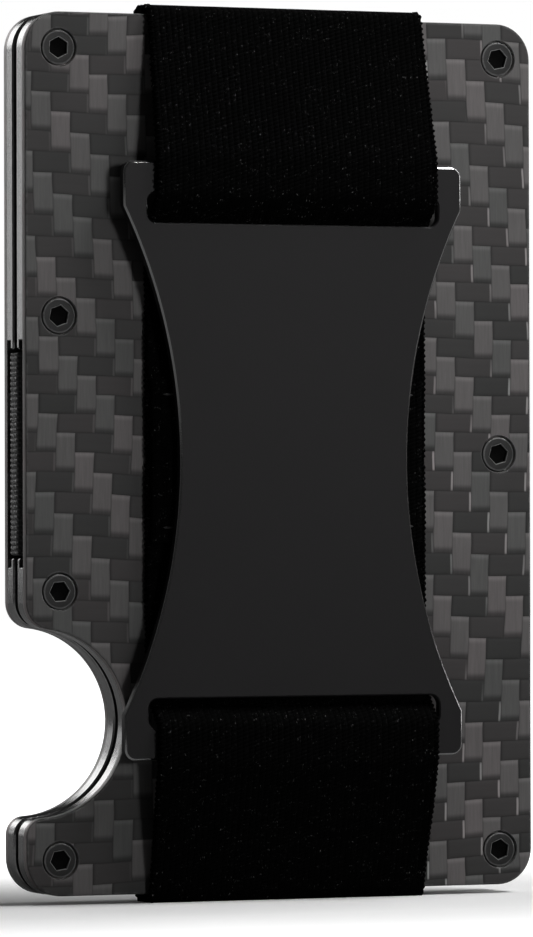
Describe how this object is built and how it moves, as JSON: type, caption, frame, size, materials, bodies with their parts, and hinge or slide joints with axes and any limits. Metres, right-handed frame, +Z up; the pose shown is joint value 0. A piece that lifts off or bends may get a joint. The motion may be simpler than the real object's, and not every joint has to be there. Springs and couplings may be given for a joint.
{
  "type": "card wallet",
  "caption": "Slim card wallet: two screwed carbon and metal panels held together by side elastics, with a thumb notch and a cash strap threaded through a waisted metal plate.",
  "frame": {"origin": "bottom centre of the whole wallet's box, at the strap's lower turn", "axes": "+X across the wallet's width, away from the thumb notch; +Y from the strap side to the back face; +Z up along its height"},
  "size_m": [0.054, 0.01, 0.0877],
  "materials": {
    "carbon_weave": "2x2 twill carbon fibre under a satin resin coat",
    "frame_metal": "black anodised aluminium, edges brushed",
    "screw_steel": "black oxide steel, satin",
    "elastic_webbing": "knitted elastic",
    "strap_webbing": "woven elastic webbing, matt",
    "thread": "bonded nylon thread",
    "plate_metal": "satin dark grey coating, edges bright"
  },
  "bodies": {
    "front_panel": {"front_cover": "carbon_weave", "front_frame": "frame_metal", "front_screw_top_left": "screw_steel", "front_screw_top_right": "screw_steel", "front_screw_upper_left": "screw_steel", "front_screw_mid_right": "screw_steel", "front_screw_lower_left": "screw_steel", "front_screw_bottom_left": "screw_steel", "front_screw_bottom_right": "screw_steel", "left_elastic": "elastic_webbing", "right_upper_elastic": "elastic_webbing", "right_lower_elastic": "elastic_webbing", "cash_strap": "strap_webbing"},
    "back_panel": {"back_cover": "carbon_weave", "back_frame": "frame_metal", "back_screw_top_left": "screw_steel", "back_screw_top_right": "screw_steel", "back_screw_upper_left": "screw_steel", "back_screw_mid_right": "screw_steel", "back_screw_lower_left": "screw_steel", "back_screw_bottom_left": "screw_steel", "back_screw_bottom_right": "screw_steel"},
    "cash_plate": {"strap_plate": "plate_metal", "strap_stitching": "thread"}
  },
  "joints": [
    {"name": "card_gap", "type": "slide", "parent": "front_panel", "child": "back_panel", "axis": [0, 1, 0], "range_m": [0, 0.009], "stiffness_N_per_m": 600, "springref_m": -0.006, "deforming": ["left_elastic", "right_upper_elastic", "right_lower_elastic"]},
    {"name": "cash_lift", "type": "slide", "parent": "front_panel", "child": "cash_plate", "axis": [0, -1, 0], "range_m": [0, 0.004], "stiffness_N_per_m": 250, "springref_m": -0.004, "deforming": ["cash_strap"]}
  ]
}
